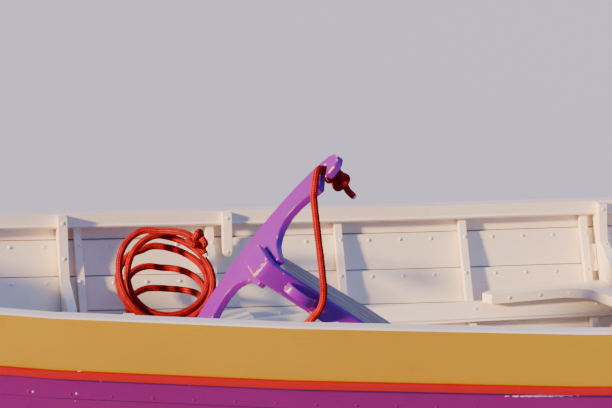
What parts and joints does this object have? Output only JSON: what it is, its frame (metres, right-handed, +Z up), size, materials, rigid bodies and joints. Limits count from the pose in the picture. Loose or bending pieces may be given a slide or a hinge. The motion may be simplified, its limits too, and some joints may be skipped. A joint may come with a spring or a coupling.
{
  "type": "clinker rowing gig",
  "caption": "Long clinker-built open rowing boat lying ashore on its keel and one bilge, with thwarts, knees, thole pins and its yoke rudder stowed inside with the steering line.",
  "frame": {"origin": "centre of the bounding box at the ground, under the boat as it lies ashore on its keel and port bilge", "axes": "+X along the keel to the bow, +Y to port, +Z up from the ground; the boat is heeled to port about X"},
  "size_m": [9.791, 1.4628, 1.0719],
  "materials": {
    "purple_paint": "gloss purple paint on wood",
    "yellow_paint": "gloss yellow paint on wood",
    "red_paint": "gloss red paint on wood",
    "white_paint": "satin off-white paint on wood",
    "oiled_wood": "oiled hardwood",
    "bare_wood": "bare weathered grey wood",
    "galvanised_steel": "galvanised steel",
    "red_rope": "red braided polyester"
  },
  "bodies": {
    "hull": {"strake_1_port": "purple_paint", "strake_2_port": "purple_paint", "strake_3_port": "purple_paint", "strake_4_port": "purple_paint", "strake_5_port": "purple_paint", "strake_6_port": "purple_paint", "strake_7_port": "purple_paint", "strake_8_port": "purple_paint", "strake_9_port": "purple_paint", "strake_1_starboard": "purple_paint", "strake_2_starboard": "purple_paint", "strake_3_starboard": "purple_paint", "strake_4_starboard": "purple_paint", "strake_5_starboard": "purple_paint", "strake_6_starboard": "purple_paint", "strake_7_starboard": "purple_paint", "strake_8_starboard": "purple_paint", "strake_9_starboard": "purple_paint", "sheer_strake_port": "yellow_paint", "sheer_strake_starboard": "yellow_paint", "rubbing_band_port": "red_paint", "rubbing_band_starboard": "red_paint", "keel": "purple_paint", "stem": "purple_paint", "sternpost": "purple_paint", "transom": "yellow_paint", "timbers_aft": "white_paint", "timbers_fore": "white_paint", "inwale_port": "white_paint", "inwale_starboard": "white_paint", "breasthook": "white_paint", "riser_port": "white_paint", "riser_starboard": "white_paint", "thwart_1": "white_paint", "thwart_2": "white_paint", "thwart_3": "white_paint", "thwart_4": "white_paint", "thwart_5": "white_paint", "thwart_6": "white_paint", "stern_bench": "white_paint", "bottom_boards": "white_paint", "stern_floor": "white_paint", "thole_pad_1": "oiled_wood", "thole_pad_2": "oiled_wood", "thole_pad_3": "oiled_wood", "thole_pad_4": "oiled_wood", "thole_pad_5": "oiled_wood", "thole_pad_6": "oiled_wood", "gudgeon_upper": "galvanised_steel", "gudgeon_lower": "galvanised_steel"},
    "rudder": {"rudder_blade": "bare_wood", "rudder_yoke": "purple_paint", "rudder_strap_upper": "purple_paint", "rudder_strap_lower": "galvanised_steel", "rope": "red_rope", "rope_knot": "red_rope", "rope_coil": "red_rope", "rope_end_knot": "red_rope"}
  },
  "joints": [
    {"name": "rudder_lift", "type": "slide", "parent": "hull", "child": "rudder", "axis": [-0.8024, -0.0379, 0.5956], "range_m": [0, 0.45]}
  ]
}
